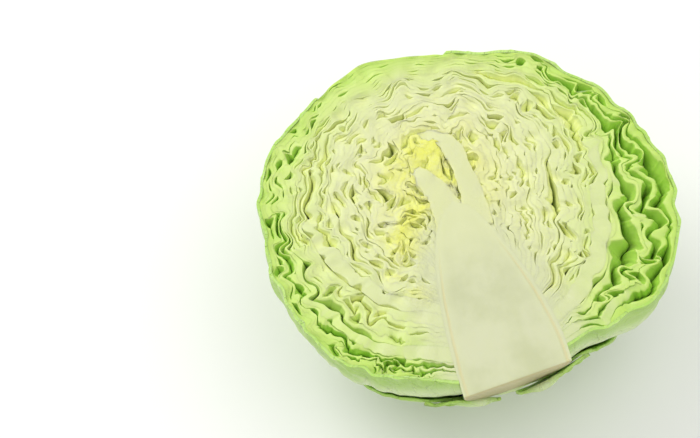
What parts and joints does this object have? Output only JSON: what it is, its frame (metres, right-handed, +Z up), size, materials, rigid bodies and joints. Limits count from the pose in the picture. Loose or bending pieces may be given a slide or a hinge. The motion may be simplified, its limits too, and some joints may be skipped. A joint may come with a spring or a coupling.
{
  "type": "cabbage half",
  "caption": "Half of a round white cabbage cut lengthwise through the stem, lying on its back: core, folded leaves on edge in the cut face, and veined wrapper leaves outside.",
  "frame": {"origin": "centre of the small flat spot under the rounded back that the half head rests on", "axes": "+Z up, square to the cut face, which is level and faces up; +Y from the stem to the top of the head; +X to the right across the cut face with the stem towards the viewer"},
  "size_m": [0.1901, 0.1704, 0.087],
  "materials": {
    "core": "moist, firm, cream-white stem flesh, cut with a knife",
    "heart": "yellow, crumpled young leaf, cut on edge",
    "inner_leaf": "pale cream-green leaf, cut on edge, slightly moist",
    "outer_leaf": "light green leaf, cut on edge",
    "wrapper_leaf": "smooth, slightly waxy green leaf with pale raised veins"
  },
  "bodies": {
    "root": {"stem_core": "core", "heart_leaves": "heart", "head_leaf_right_01": "inner_leaf", "head_leaf_left_01": "inner_leaf", "head_leaf_right_02": "inner_leaf", "head_leaf_left_02": "inner_leaf", "head_leaf_right_03": "inner_leaf", "head_leaf_left_03": "inner_leaf", "head_leaf_right_04": "inner_leaf", "head_leaf_left_04": "inner_leaf", "head_leaf_right_05": "inner_leaf", "head_leaf_left_05": "inner_leaf", "head_leaf_right_06": "inner_leaf", "head_leaf_left_06": "inner_leaf", "head_leaf_right_07": "inner_leaf", "head_leaf_left_07": "inner_leaf", "head_leaf_right_08": "inner_leaf", "head_leaf_left_08": "inner_leaf", "head_leaf_right_09": "outer_leaf", "head_leaf_left_09": "outer_leaf", "head_leaf_right_10": "outer_leaf", "head_leaf_left_10": "outer_leaf", "head_leaf_right_11": "outer_leaf", "head_leaf_left_11": "outer_leaf", "wrapper_leaf_right": "wrapper_leaf", "wrapper_leaf_left": "wrapper_leaf", "wrapper_leaf_back": "wrapper_leaf", "wrapper_leaf_stub_left": "wrapper_leaf", "wrapper_leaf_stub_right": "wrapper_leaf"}
  },
  "joints": []
}
